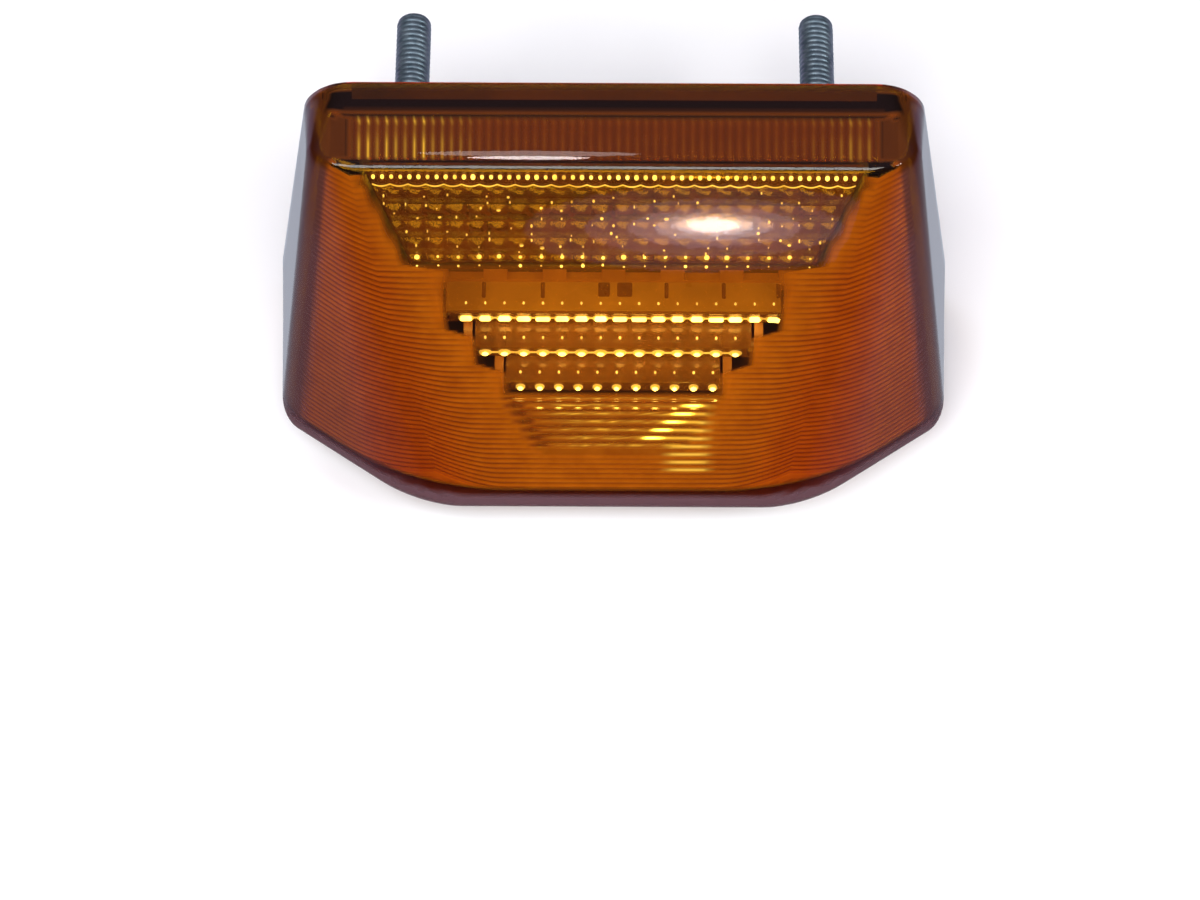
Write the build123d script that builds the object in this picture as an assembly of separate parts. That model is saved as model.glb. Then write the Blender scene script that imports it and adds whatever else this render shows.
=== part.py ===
from build123d import *
import os

# Clearance lamp, in millimetres.
# Origin: midway between the two studs, on the mounting face of the back plate.
# +X to the right, +Y along the studs and away from the lamp, +Z towards the narrow edge.

# Back outline, between sharp corners
wide_edge = 118.0
narrow_edge = 100.6
height = 60.0

# Lens shell
rim_setback = 0.4
crease_depth = 16.7
shoulder_depth = 34.6
nose_depth = 53.4
nose_width = 64.6
crease_width = 91.0
narrow_draft = 0.02
wide_draft = 0.15
side_draft = 0.039
lens_wall = 2.3
narrow_corner_radius = 8.3
wide_corner_radius = 5.3
front_edge_radius = 2.4
inner_edge_radius = 0.6
wing_edge_radius = 6.0

# Back plate
bead_width = 0.5
bead_depth = 2.4
plate_thickness = 3.0
groove_depth = 0.3
ring_groove_radius = 6.0
ring_groove_width = 0.5
line_groove_width = 0.5
line_half_narrow = 44.0
line_spans_wide = ((-50.0, -6.5), (12.0, 50.0))
patch_half_width = 7.5
patch_z = (-27.0, -24.4)
patch_pitch = 1.5
mark_size = 1.5
stud_mark_z = -8.4
line_z_wide = -22.6
line_z_narrow = 23.2

# Studs, M6
stud_spacing = 70.0
stud_radius = 3.0
stud_length = 34.0
stud_chamfer = 0.9
stud_knurl_radius = 3.6
stud_head_radius = 5.5
stud_head_thickness = 3.0
stud_head_depth = 3.2
stud_boss_radius = 7.5
stud_boss_depth = 8.0

# Connector
connector_z = -11.5
collar_width = 31.2
collar_height = 17.3
collar_corner_radius = 7.6
collar_wall = 1.4
collar_length = 20.0
socket_floor = 3.0
socket_base_margin = 0.6
flange_margin = 2.2
flange_thickness = 2.0
terminal_size = 1.5
terminal_xs = (-5.6, -2.1)
terminal_z = connector_z - 1.8
terminal_tip = 9.5
label_thickness = 0.25
label_end_gap = 0.6
label_low_z = connector_z - 4.3
rib_width = 0.9
rib_height = 2.4
slat_x = (1.2, 5.9)
slat_count = 4
slat_pitch = 1.2

# Breather
vent_x = 18.0
vent_z = 10.5
vent_boss_radius = 8.8
vent_boss_height = 2.0
vent_disc_radius = 7.9
vent_disc_thickness = 0.5
vent_hole_radius = 1.5

# Circuit board and what is on it
board_width = 60.0
board_low_z = -18.0
board_high_z = 11.0
board_depth = 9.5
board_thickness = 1.6
led_count = 6
led_pitch = 10.0
led_z = -4.0
led_width = 3.5
led_height = 2.8
led_thickness = 1.9
post_radius = 3.0
board_screw_x = 21.0
board_screw_z = 7.5
screw_radius = 1.2
screw_head_radius = 2.5
screw_head_thickness = 1.5
screw_grip = 5.0

# Reflector tray and stepped light guide
tray_depth = 13.5
tray_thickness = 1.5
tray_low_z = -17.0
tray_high_z = 12.0
tray_half_low = 24.0
tray_half_high = 42.0
window_width = 6.0
window_height = 5.0
reflector_screw_x = 37.5
reflector_screw_z = 9.0
guide_half_widths = (28.6, 23.5, 18.2)
guide_top_z = -7.2
guide_step_z = 3.0
guide_first_depth = 22.0
guide_step_depth = 5.0
cheek_thickness = 1.5
cheek_gap = 0.4

# Pillow optic, a cover behind the upper front of the lens
optic_gap = 0.7
optic_wall = 1.6
optic_low_z = 13.0
optic_half_low = 37.5
optic_half_high = 45.5


def at_depth(x, depth, z):
    """A point given by its depth in front of the mounting face."""
    return Vector(x, -depth, z)


def facet(a, b, c):
    """The plane through three points, with its normal pointing out of the lamp."""
    normal = (b - a).cross(c - a).normalized()
    middle = at_depth(0, crease_depth / 2, 0)
    if normal.dot(a - middle) < 0:
        normal = normal * -1
    return Plane(origin=a, z_dir=normal)


def lens_facets():
    """The eight outer planes of the lens, by name."""
    low = -height / 2
    high = height / 2
    low_at_nose = low + wide_draft * nose_depth
    high_at_crease = high - narrow_draft * crease_depth
    facets = {}
    facets["back"] = Plane(origin=at_depth(0, rim_setback, 0), z_dir=(0, 1, 0))
    facets["narrow"] = facet(at_depth(-1, 0, high), at_depth(1, 0, high), at_depth(0, crease_depth, high_at_crease))
    facets["wide"] = facet(at_depth(-1, 0, low), at_depth(1, 0, low), at_depth(0, nose_depth, low_at_nose))
    facets["front"] = facet(
        at_depth(-1, crease_depth, high_at_crease),
        at_depth(1, crease_depth, high_at_crease),
        at_depth(0, nose_depth, low_at_nose),
    )
    for name, side in (("left", -1), ("right", 1)):
        low_corner = at_depth(side * wide_edge / 2, 0, low)
        high_corner = at_depth(side * narrow_edge / 2, 0, high)
        drafted = at_depth(side * (wide_edge / 2 - side_draft * shoulder_depth), shoulder_depth, low)
        facets[name] = facet(low_corner, high_corner, drafted)
        lean = (wide_edge - narrow_edge) / 2 / height
        shoulder_z = low + wide_draft * shoulder_depth
        shoulder_x = drafted.X * side - lean * (shoulder_z - low)
        facets[name + "_wing"] = facet(
            at_depth(side * crease_width / 2, crease_depth, high_at_crease),
            at_depth(side * shoulder_x, shoulder_depth, shoulder_z),
            at_depth(side * nose_width / 2, nose_depth, low_at_nose),
        )
    return facets


def edges_between(solid, first, second):
    """The edges of a solid that lie in both planes."""
    found = []
    for edge in solid.edges():
        spots = [edge @ 0, edge @ 0.5, edge @ 1]
        off = [abs((p - plane.origin).dot(plane.z_dir)) for p in spots for plane in (first, second)]
        if max(off) < 1e-3:
            found.append(edge)
    return found


def lens_body(inset):
    """The solid inside the lens facets, each moved in by the inset, with its edges rounded."""
    facets = {name: plane.offset(-inset) for name, plane in lens_facets().items()}
    facets["back"] = lens_facets()["back"]
    size = 2 * wide_edge
    body = Box(size, size, size)
    for plane in facets.values():
        body = split(body, bisect_by=plane, keep=Keep.BOTTOM)
    wing_edges = []
    for side in ("left", "right"):
        wing_edges += edges_between(body, facets["front"], facets[side + "_wing"])
    body = fillet(wing_edges, wing_edge_radius)
    for wall, radius in (("narrow", narrow_corner_radius), ("wide", wide_corner_radius)):
        corners = []
        for side in ("left", "right"):
            corners += edges_between(body, facets[wall], facets[side])
        body = fillet(corners, radius - inset)
    return fillet(front_rim(body), max(front_edge_radius - inset, inner_edge_radius))


def front_rim(body):
    """The edges where the front and the wings meet the walls."""
    front_faces = [face for face in body.faces() if face.normal_at().Y < -0.5]
    front_edges = [edge for face in front_faces for edge in face.edges()]
    return [edge for edge in front_edges if front_edges.count(edge) == 1]




def slab(body, start, end):
    """The stretch of a body between two depths."""
    size = 2 * wide_edge
    layer = Pos(0, -(start + end) / 2, 0) * Box(size, end - start, size)
    return body & layer


def block(x_range, depth_range, z_range):
    """A box given by its limits, with its depths in front of the mounting face."""
    low = at_depth(x_range[0], depth_range[1], z_range[0])
    high = at_depth(x_range[1], depth_range[0], z_range[1])
    size = high - low
    return Pos(*((low + high) / 2)) * Box(*size)


def rod(x, z, start, end, radius):
    """A round bar along Y between two depths."""
    turned = Rot(90, 0, 0) * Cylinder(radius, abs(end - start))
    return Pos(x, -(start + end) / 2, z) * turned


def rounded_bar(width, tall, corner, start, end, z):
    """A bar along Y with a rounded rectangular section, centred on X = 0."""
    face = Plane(origin=at_depth(0, start, z), x_dir=(1, 0, 0), z_dir=(0, -1, 0)) * RectangleRounded(
        width, tall, corner
    )
    return extrude(face, amount=end - start)


def tapered_plate(half_low, half_high, z_range, depth_range):
    """A plate that is wider at its upper edge than at its lower edge."""
    low, high = z_range
    corners = [(-half_low, low), (half_low, low), (half_high, high), (-half_high, high)]
    face = Plane(origin=at_depth(0, depth_range[0], 0), x_dir=(1, 0, 0), z_dir=(0, -1, 0)) * Polygon(
        *corners, align=None
    )
    return extrude(face, amount=depth_range[1] - depth_range[0])


def make_lens():
    outer = lens_body(0)
    hollow = lens_body(lens_wall)
    mouth = slab(lens_body(lens_wall), rim_setback, rim_setback + 1)
    return outer - hollow - Pos(0, 0.5, 0) * mouth


def make_bead():
    outer = slab(lens_body(lens_wall), rim_setback, rim_setback + bead_depth)
    return outer - slab(lens_body(lens_wall + bead_width), 0, rim_setback + 2 * bead_depth)


def plate_core():
    """The plate before its holes, reaching back past the lens rim to the mounting face."""
    core = slab(lens_body(lens_wall + bead_width), rim_setback, plate_thickness)
    edge = core.faces().sort_by(Axis.Y)[-1]
    return core + extrude(edge, amount=rim_setback, dir=(0, 1, 0))


def ring_groove(x):
    outer = rod(x, 0, -1, groove_depth, ring_groove_radius + ring_groove_width / 2)
    return outer - rod(x, 0, -1, groove_depth, ring_groove_radius - ring_groove_width / 2)


def groove(x_range, z_range):
    return block(x_range, (-1, groove_depth), z_range)


def line_grooves():
    """Shallow lines along both long edges, and a patch of short ribs at the wide edge."""
    narrow_line = (line_z_narrow, line_z_narrow + line_groove_width)
    wide_line = (line_z_wide, line_z_wide + line_groove_width)
    grooves = [groove((-line_half_narrow, line_half_narrow), narrow_line)]
    grooves += [groove(span, wide_line) for span in line_spans_wide]
    count = round(2 * patch_half_width / patch_pitch) + 1
    for i in range(count):
        x = -patch_half_width + i * patch_pitch
        grooves.append(groove((x - line_groove_width / 2, x + line_groove_width / 2), patch_z))
    return grooves


def triangle_mark(x):
    """A small sunk triangle beside a stud, pointing at it."""
    tip = stud_mark_z + mark_size
    corners = [(x - mark_size / 2, stud_mark_z), (x + mark_size / 2, stud_mark_z), (x, tip)]
    face = Plane(origin=at_depth(0, -1, 0), x_dir=(1, 0, 0), z_dir=(0, -1, 0)) * Polygon(*corners, align=None)
    return extrude(face, amount=1 + groove_depth)


def make_back_plate():
    plate = plate_core()
    for x in (-stud_spacing / 2, stud_spacing / 2):
        plate += rod(x, 0, plate_thickness, stud_boss_depth, stud_boss_radius)
    plate += rod(vent_x, vent_z, -vent_boss_height, 0, vent_boss_radius)
    for x in (-board_screw_x, board_screw_x):
        plate += rod(x, board_screw_z, plate_thickness, board_depth, post_radius)
    for x in (-reflector_screw_x, reflector_screw_x):
        plate += rod(x, reflector_screw_z, plate_thickness, tray_depth, post_radius)
    for x in (-stud_spacing / 2, stud_spacing / 2):
        plate -= ring_groove(x)
        plate -= triangle_mark(x)
        plate -= make_stud(x)
    for line in line_grooves():
        plate -= line
    for x in (-board_screw_x, board_screw_x):
        plate -= make_board_screw(x)
    for x in (-reflector_screw_x, reflector_screw_x):
        plate -= make_reflector_screw(x)
    plate -= rod(vent_x, vent_z, -vent_boss_height, plate_thickness, vent_hole_radius)
    return plate - socket_base()


def make_stud(x):
    """A stud whose knurl and head are moulded into the plate."""
    shank = rod(x, 0, -stud_length, 0, stud_radius)
    tip = shank.edges().sort_by(Axis.Y)[-1]
    shank = chamfer(tip, stud_chamfer)
    knurl = rod(x, 0, 0, stud_head_depth, stud_knurl_radius)
    return shank + knurl + rod(x, 0, stud_head_depth, stud_head_depth + stud_head_thickness, stud_head_radius)


def socket_base():
    """The stretch of the connector housing that fills its hole in the plate."""
    width, tall, corner = collar_width, collar_height, collar_corner_radius
    skin = 2 * socket_base_margin
    return rounded_bar(width + skin, tall + skin, corner + socket_base_margin, 0, plate_thickness, connector_z)


def make_connector_housing():
    width, tall, corner = collar_width, collar_height, collar_corner_radius
    housing = socket_base() + rounded_bar(width, tall, corner, -collar_length, 0, connector_z)
    margin = 2 * flange_margin
    housing += rounded_bar(
        width + margin, tall + margin, corner, plate_thickness, plate_thickness + flange_thickness, connector_z
    )
    wall = 2 * collar_wall
    housing -= rounded_bar(
        width - wall, tall - wall, corner - collar_wall, -collar_length, -socket_floor, connector_z
    )
    mouth = [edge for edge in housing.edges() if edge.center().Y > collar_length - 0.01]
    housing = chamfer(mouth, 0.35)
    half_wide = tall / 2 - collar_wall
    rib_x = sum(terminal_xs) / 2
    housing += block(
        (rib_x - rib_width / 2, rib_x + rib_width / 2),
        (-socket_floor - rib_height, -socket_floor),
        (connector_z - half_wide, connector_z + half_wide),
    )
    for i in range(slat_count):
        z = connector_z - slat_pitch / 2 + i * slat_pitch
        housing += block(slat_x, (-socket_floor - rib_height, -socket_floor), (z, z + slat_pitch / 2))
    for x in terminal_xs:
        housing -= terminal(x)
    return housing


def terminal(x):
    """A square pin through the socket floor, straight into the circuit board."""
    half = terminal_size / 2
    depths = (-terminal_tip, board_depth + board_thickness + 0.8)
    return block((x - half, x + half), depths, (terminal_z - half, terminal_z + half))


def make_label():
    """A thin sheet wrapped over the side of the collar that faces the wide edge."""
    start = -collar_length + label_end_gap
    end = -label_end_gap
    skin = 2 * label_thickness
    width, tall, corner = collar_width, collar_height, collar_corner_radius
    outer = rounded_bar(width + skin, tall + skin, corner + label_thickness, start, end, connector_z)
    sheet = outer - rounded_bar(width, tall, corner, start, end, connector_z)
    return sheet & block((-wide_edge, wide_edge), (start, end), (-height, label_low_z))


def make_vent_membrane():
    top = vent_boss_height + vent_disc_thickness
    return rod(vent_x, vent_z, -top, -vent_boss_height, vent_disc_radius)


def make_circuit_board():
    half = board_width / 2
    depths = (board_depth, board_depth + board_thickness)
    board = block((-half, half), depths, (board_low_z, board_high_z))
    for x in (-board_screw_x, board_screw_x):
        board -= make_board_screw(x)
    for x in terminal_xs:
        board -= terminal(x)
    return board


def on_board(x, z, width, tall, thick):
    front = board_depth + board_thickness
    return block((x - width / 2, x + width / 2), (front, front + thick), (z - tall / 2, z + tall / 2))


def make_led(index):
    x = (index - (led_count - 1) / 2) * led_pitch
    return on_board(x, led_z, led_width, led_height, led_thickness)


def make_resistors():
    return Compound([on_board(x, -9.5, 3.2, 1.6, 0.6) for x in (5.0, 10.0, 15.0)])


def make_screw(x, z, head_depth, grip):
    shank = rod(x, z, head_depth - grip, head_depth, screw_radius)
    return shank + rod(x, z, head_depth, head_depth + screw_head_thickness, screw_head_radius)


def make_board_screw(x):
    return make_screw(x, board_screw_z, board_depth + board_thickness, screw_grip + board_thickness)


def make_reflector_screw(x):
    return make_screw(x, reflector_screw_z, tray_depth + tray_thickness, screw_grip + tray_thickness)


def step_low_z(step):
    return guide_top_z - (step + 1) * guide_step_z


def step_front(step):
    return guide_first_depth + step * guide_step_depth


def make_light_guide():
    """Three bars that step forward and grow shorter towards the wide edge."""
    back = tray_depth + tray_thickness
    guide = None
    for step, half in enumerate(guide_half_widths):
        low = step_low_z(step)
        bar = block((-half, half), (back, step_front(step)), (low, low + guide_step_z))
        guide = bar if guide is None else guide + bar
    return guide


def make_reflector():
    tray_front = tray_depth + tray_thickness
    tray = tapered_plate(tray_half_low, tray_half_high, (tray_low_z, tray_high_z), (tray_depth, tray_front))
    for index in range(led_count):
        x = (index - (led_count - 1) / 2) * led_pitch
        tray -= block(
            (x - window_width / 2, x + window_width / 2),
            (tray_depth, tray_front),
            (led_z - window_height / 2, led_z + window_height / 2),
        )
    for side in (-1, 1):
        for step, half in enumerate(guide_half_widths):
            near = half + cheek_gap
            xs = sorted((side * near, side * (near + cheek_thickness)))
            low = step_low_z(step)
            tray += block(xs, (tray_front, step_front(step)), (low, low + guide_step_z))
        tray -= make_reflector_screw(side * reflector_screw_x)
        tray -= rod(side * board_screw_x, board_screw_z, tray_depth, tray_front, screw_head_radius + 0.3)
    return tray


def make_pillow_optic():
    """A cover behind the upper front, open towards the back plate."""
    front = lens_body(lens_wall + optic_gap)
    high = height / 2
    outline = tapered_plate(
        optic_half_low, optic_half_high, (optic_low_z, high), (plate_thickness, nose_depth)
    )
    inside = tapered_plate(
        optic_half_low - optic_wall,
        optic_half_high - optic_wall,
        (optic_low_z + optic_wall, high),
        (0, nose_depth),
    )
    return (front & outline) - (lens_body(lens_wall + optic_gap + optic_wall) & inside)


def write_part(name, shape):
    shape.label = name
    export_step(shape, os.path.join("parts", name + ".step"))


os.makedirs("parts", exist_ok=True)
write_part("lens", make_lens())
write_part("sealant_bead", make_bead())
write_part("back_plate", make_back_plate())
write_part("connector_housing", make_connector_housing())
write_part("connector_label", make_label())
write_part("vent_membrane", make_vent_membrane())
write_part("circuit_board", make_circuit_board())
write_part("reflector", make_reflector())
write_part("light_guide", make_light_guide())
write_part("pillow_optic", make_pillow_optic())
write_part("resistors", make_resistors())
write_part("protection_diode", on_board(-12.0, -10.0, 4.4, 2.6, 2.2))
write_part("smoothing_capacitor", on_board(20.5, -10.5, 3.2, 2.5, 1.6))
for side, x_sign, terminal_x in (("left", -1, terminal_xs[0]), ("right", 1, terminal_xs[1])):
    write_part("stud_" + side, make_stud(x_sign * stud_spacing / 2))
    write_part("terminal_" + side, terminal(terminal_x))
    write_part("board_screw_" + side, make_board_screw(x_sign * board_screw_x))
    write_part("reflector_screw_" + side, make_reflector_screw(x_sign * reflector_screw_x))
for led_index in range(led_count):
    write_part("led_" + str(led_index + 1), make_led(led_index))
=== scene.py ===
import math

import bmesh
import bpy
import numpy as np
from mathutils import Matrix, Vector


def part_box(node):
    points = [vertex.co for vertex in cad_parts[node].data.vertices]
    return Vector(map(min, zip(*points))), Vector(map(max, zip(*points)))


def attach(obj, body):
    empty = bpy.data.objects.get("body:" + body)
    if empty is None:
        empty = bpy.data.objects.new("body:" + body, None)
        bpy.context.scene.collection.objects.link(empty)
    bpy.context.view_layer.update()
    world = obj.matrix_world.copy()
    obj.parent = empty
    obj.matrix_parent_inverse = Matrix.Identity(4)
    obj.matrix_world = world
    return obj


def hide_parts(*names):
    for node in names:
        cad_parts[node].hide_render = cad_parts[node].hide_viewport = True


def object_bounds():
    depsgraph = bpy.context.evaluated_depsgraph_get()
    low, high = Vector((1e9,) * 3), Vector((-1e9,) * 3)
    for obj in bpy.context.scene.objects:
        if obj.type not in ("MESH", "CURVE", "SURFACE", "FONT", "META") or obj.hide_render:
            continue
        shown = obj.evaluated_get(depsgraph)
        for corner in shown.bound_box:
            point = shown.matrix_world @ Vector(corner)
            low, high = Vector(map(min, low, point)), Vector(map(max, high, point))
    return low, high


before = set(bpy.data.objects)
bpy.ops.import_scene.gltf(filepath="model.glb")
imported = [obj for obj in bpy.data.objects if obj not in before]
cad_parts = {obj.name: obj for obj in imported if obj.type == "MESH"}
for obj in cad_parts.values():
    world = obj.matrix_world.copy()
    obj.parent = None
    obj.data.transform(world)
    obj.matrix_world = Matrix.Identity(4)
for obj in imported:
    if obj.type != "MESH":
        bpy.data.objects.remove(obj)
cad_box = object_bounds()

# Clearance lamp. Metres in Blender; the lens and the optics are worked out in millimetres as
# (x, depth, z), where depth is measured forward from the mounting face, so that y = -depth.
MM = 0.001

# Lens shell
WIDE_HALF = 59.0
NARROW_HALF = 50.3
HALF_HEIGHT = 30.0
RIM_DEPTH = 0.4
CREASE_DEPTH = 16.7
CREASE_HALF = 45.5
SHOULDER_DEPTH = 34.6
NOSE_DEPTH = 53.4
NOSE_HALF = 32.3
NARROW_DRAFT = 0.02
WIDE_DRAFT = 0.15
SIDE_DRAFT = 0.039
WALL = 2.3

# Camera
CAMERA_DISTANCE = 0.6921
CAMERA_AZIMUTH = math.radians(0.133)
CAMERA_ELEVATION = math.radians(56.157)
CAMERA_ROLL = math.radians(-0.174)
CAMERA_AIM = (-0.002282, -0.045584)
CAMERA_LENS = 121.6


# ---------------------------------------------------------------- meshes

def new_object(name, points, faces, smooth=True):
    """Object from points in metres and faces."""
    mesh = bpy.data.meshes.new(name)
    mesh.from_pydata([tuple(p) for p in points], [], [tuple(f) for f in faces])
    mesh.update()
    for polygon in mesh.polygons:
        polygon.use_smooth = smooth
    thing = bpy.data.objects.new(name, mesh)
    bpy.context.scene.collection.objects.link(thing)
    return thing


def to_metres(points):
    """(x, depth, z) in millimetres to Blender's x, y, z."""
    return np.stack([points[..., 0], -points[..., 1], points[..., 2]], axis=-1) * MM


class Shell:
    """Points and faces of a mesh that is put together from rows."""

    def __init__(self):
        self.points = []
        self.faces = []
        self.kinds = []

    def add(self, grid):
        """Adds a grid of points and gives their numbers in the same layout."""
        grid = np.asarray(grid, float)
        start = sum(len(p) for p in self.points)
        self.points.append(grid.reshape(-1, 3))
        return start + np.arange(grid[..., 0].size).reshape(grid.shape[:-1])

    def strip(self, low, high, kind=0):
        """Joins two rows. The high row may have several points for each one of the low row."""
        step = (len(high) - 1) // (len(low) - 1)
        for i in range(len(low) - 1):
            upper = [high[j] for j in range((i + 1) * step, i * step - 1, -1)]
            self.faces.append([low[i], low[i + 1]] + upper)
            self.kinds.append(kind)

    def rows(self, numbers, kind=0):
        """Joins every row of a grid to the next."""
        for low, high in zip(numbers[:-1], numbers[1:]):
            self.strip(low, high, kind)

    def lump(self, low, high, edge, kind=0):
        """Rounded block over the box from low to high; with edge at half its size it is a bead."""
        low, high, edge = np.array(low, float), np.array(high, float), np.broadcast_to(edge, 3)
        around = (np.arange(12) + 0.5) / 12 * 2 * math.pi
        down = (np.arange(8) + 0.5) / 8 * math.pi
        ball = np.stack([np.outer(np.sin(down), np.cos(around)), np.outer(np.sin(down), np.sin(around)),
                         np.outer(np.cos(down), np.ones(12))], axis=-1)
        straight = np.sign(ball) * ((high - low) / 2 - edge)
        numbers = self.add((low + high) / 2 + straight + edge * ball)
        self.rows(np.concatenate([numbers, numbers[:, :1]], axis=1), kind)
        self.faces += [list(numbers[0]), list(numbers[-1][::-1])]
        self.kinds += [kind, kind]

    def bead(self, middle, radii, kind=0):
        middle, radii = np.array(middle, float), np.array(radii, float)
        self.lump(middle - radii, middle + radii, radii, kind)

    def build(self, name, smooth=True):
        points = to_metres(np.concatenate(self.points))
        thing = new_object(name, points, self.faces, smooth)
        for polygon, kind in zip(thing.data.polygons, self.kinds):
            polygon.material_index = kind
        return thing


def smooth_step(low, high, value):
    t = np.clip((value - low) / (high - low), 0.0, 1.0)
    return t * t * (3.0 - 2.0 * t)


def mix(a, b, t):
    return a + (b - a) * t


# ---------------------------------------------------------------- lens facets

def plane(a, b, c):
    """Unit normal and offset of the plane through three points, facing away from the origin."""
    normal = np.cross(np.subtract(b, a), np.subtract(c, a))
    normal = normal / np.linalg.norm(normal)
    offset = float(np.dot(normal, a))
    return (normal, offset) if offset > 0 else (-normal, -offset)


def narrow_z(depth):
    return HALF_HEIGHT - NARROW_DRAFT * depth


def wide_z(depth):
    return -HALF_HEIGHT + WIDE_DRAFT * depth


def side_x(depth, z):
    lean = (WIDE_HALF - NARROW_HALF) / (2 * HALF_HEIGHT)
    return WIDE_HALF - lean * (z + HALF_HEIGHT) - SIDE_DRAFT * depth


CREASE_Z = narrow_z(CREASE_DEPTH)
NOSE_Z = wide_z(NOSE_DEPTH)
SHOULDER_Z = wide_z(SHOULDER_DEPTH)
CREASE_CORNER = (CREASE_HALF, CREASE_DEPTH, CREASE_Z)
NOSE_CORNER = (NOSE_HALF, NOSE_DEPTH, NOSE_Z)
SHOULDER_CORNER = (side_x(SHOULDER_DEPTH, SHOULDER_Z), SHOULDER_DEPTH, SHOULDER_Z)

NARROW = plane((0, 0, narrow_z(0)), (1, 0, narrow_z(0)), (0, 10, narrow_z(10)))
WIDE = plane((0, 0, wide_z(0)), (1, 0, wide_z(0)), (0, 10, wide_z(10)))
SIDE = plane((side_x(0, 0), 0, 0), (side_x(10, 0), 10, 0), (side_x(0, 10), 0, 10))
FRONT = plane((0, CREASE_DEPTH, CREASE_Z), CREASE_CORNER, NOSE_CORNER)
WING = plane(CREASE_CORNER, SHOULDER_CORNER, NOSE_CORNER)

# How far each rounding reaches from its edge, in millimetres
CORNER_REACH_NARROW = 7.1
CREASE_REACH = 0.3
CORNER_REACH_WIDE = 6.2
NOSE_REACH = 3.95
FRONT_WING_REACH = (1.2, 5.5)
SHOULDER_REACH = (1.3, 2.6)
SMALLEST_REACH = 0.3


def outside(facet, points):
    """Distance of points outside a facet; the lens is the same on both sides of x = 0."""
    normal, offset = facet
    across = np.abs(points[..., 0]) * normal[0]
    return across + points[..., 1] * normal[1] + points[..., 2] * normal[2] - offset


def rounded(a, b, reach):
    """Distance outside two facets that meet in a round edge."""
    corner = np.hypot(np.maximum(a + reach, 0), np.maximum(b + reach, 0))
    return np.minimum(np.maximum(a, b) + reach, 0) + corner - reach


def lens_distance(points, inset):
    """Distance outside the lens's outer skin, moved inwards by inset."""
    depth, z = points[..., 1], points[..., 2]
    down = np.clip((CREASE_Z - z) / (CREASE_Z - NOSE_Z), 0, 1)

    def reach(value):
        return np.maximum(value - inset, SMALLEST_REACH)

    skin = rounded(outside(FRONT, points) + inset, outside(WING, points) + inset,
                   mix(*FRONT_WING_REACH, down) + 1.6 * inset * down)
    skin = rounded(skin, outside(SIDE, points) + inset, mix(*SHOULDER_REACH, down))
    to_crease = np.clip((depth - 2.0) / (CREASE_DEPTH - 2.5), 0, 1)
    narrow_reach = reach(mix(CORNER_REACH_NARROW, CREASE_REACH, to_crease))
    skin = rounded(skin, outside(NARROW, points) + inset, narrow_reach)
    to_nose = smooth_step(0.15 * NOSE_DEPTH, 0.6 * NOSE_DEPTH, depth)
    wide_reach = reach(mix(CORNER_REACH_WIDE, NOSE_REACH, to_nose))
    return rounded(skin, outside(WIDE, points) + inset, wide_reach)


def onto_skin(points, inset):
    """Moves points of the sharp outline onto the rounded skin, along lines from the lens's middle."""
    middle = points.copy()
    middle[..., 0] *= 0.5
    middle[..., 1] = np.minimum(points[..., 1], 10.0)
    middle[..., 2] = 0.0
    near, far = np.zeros(points.shape[:-1]), np.ones(points.shape[:-1])
    for _ in range(34):
        half = 0.5 * (near + far)
        inside = lens_distance(middle + (points - middle) * half[..., None], inset) < 0
        near = np.where(inside, half, near)
        far = np.where(inside, far, half)
    return middle + (points - middle) * near[..., None]


def skin_normal(points, inset):
    """Outward normal of the rounded skin."""
    step = 0.01
    slopes = [lens_distance(points + offset, inset) - lens_distance(points - offset, inset)
              for offset in step * np.eye(3)]
    normal = np.stack(slopes, axis=-1)
    return normal / np.linalg.norm(normal, axis=-1, keepdims=True)


# ---------------------------------------------------------------- lens relief

SIDE_STEPS = 22
WING_STEPS = 24
FRONT_STEPS = 58
LEVEL_FLUTES = 58
ROWS_PER_FLUTE = 5
LAST_ROW = 0.006
UPRIGHT_POINTS = 4
FLUTE_DEPTH = 0.30
UPRIGHT_DEPTH = 0.28
# Marks on the lens's points: glow makes the inside matt, groove and shade are painted shade, and the last
# is painted highlights
MARKS = ("glow", "groove", "shade", "painted_highlight")
FLUTES_START = 6.2
WINDOW_DEPTHS = (17.0, 17.7, 25.2, 25.8, 31.8, 32.7, 35.4, 36.3, 38.4, 39.0, 44.8, 45.4)
WINDOW_HALVES = (41.2, 40.2, 34.2, 28.1, 27.8, 22.9, 22.7, 18.1, 17.9, 17.4, 11.5, 9.0)
PRISM_DEPTHS = (38.8, 44.2)
PRISM_ROWS = 8
PRISM_HEIGHT = 0.45
PRISM_FIRST_ROW = 88
# Painted highlights: a run of glints on the prism ridges
GLINT_COUNT = 9
GLINTS_WITH_CORE = 5
GLINT_FIRST_X = 13.4
GLINT_SHIFT = 1.7
GLINT_HALF = 2.1


def towards_edge(count):
    """Shares from 0 to 1 in count steps that get shorter towards 1, where a face bends round an edge."""
    return 1.0 - (1.0 - np.arange(count + 1) / count) ** 1.6


def window_half(depth):
    """Half width of the clear middle of the front, which has no flutes."""
    return np.interp(depth, WINDOW_DEPTHS, WINDOW_HALVES)


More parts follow.
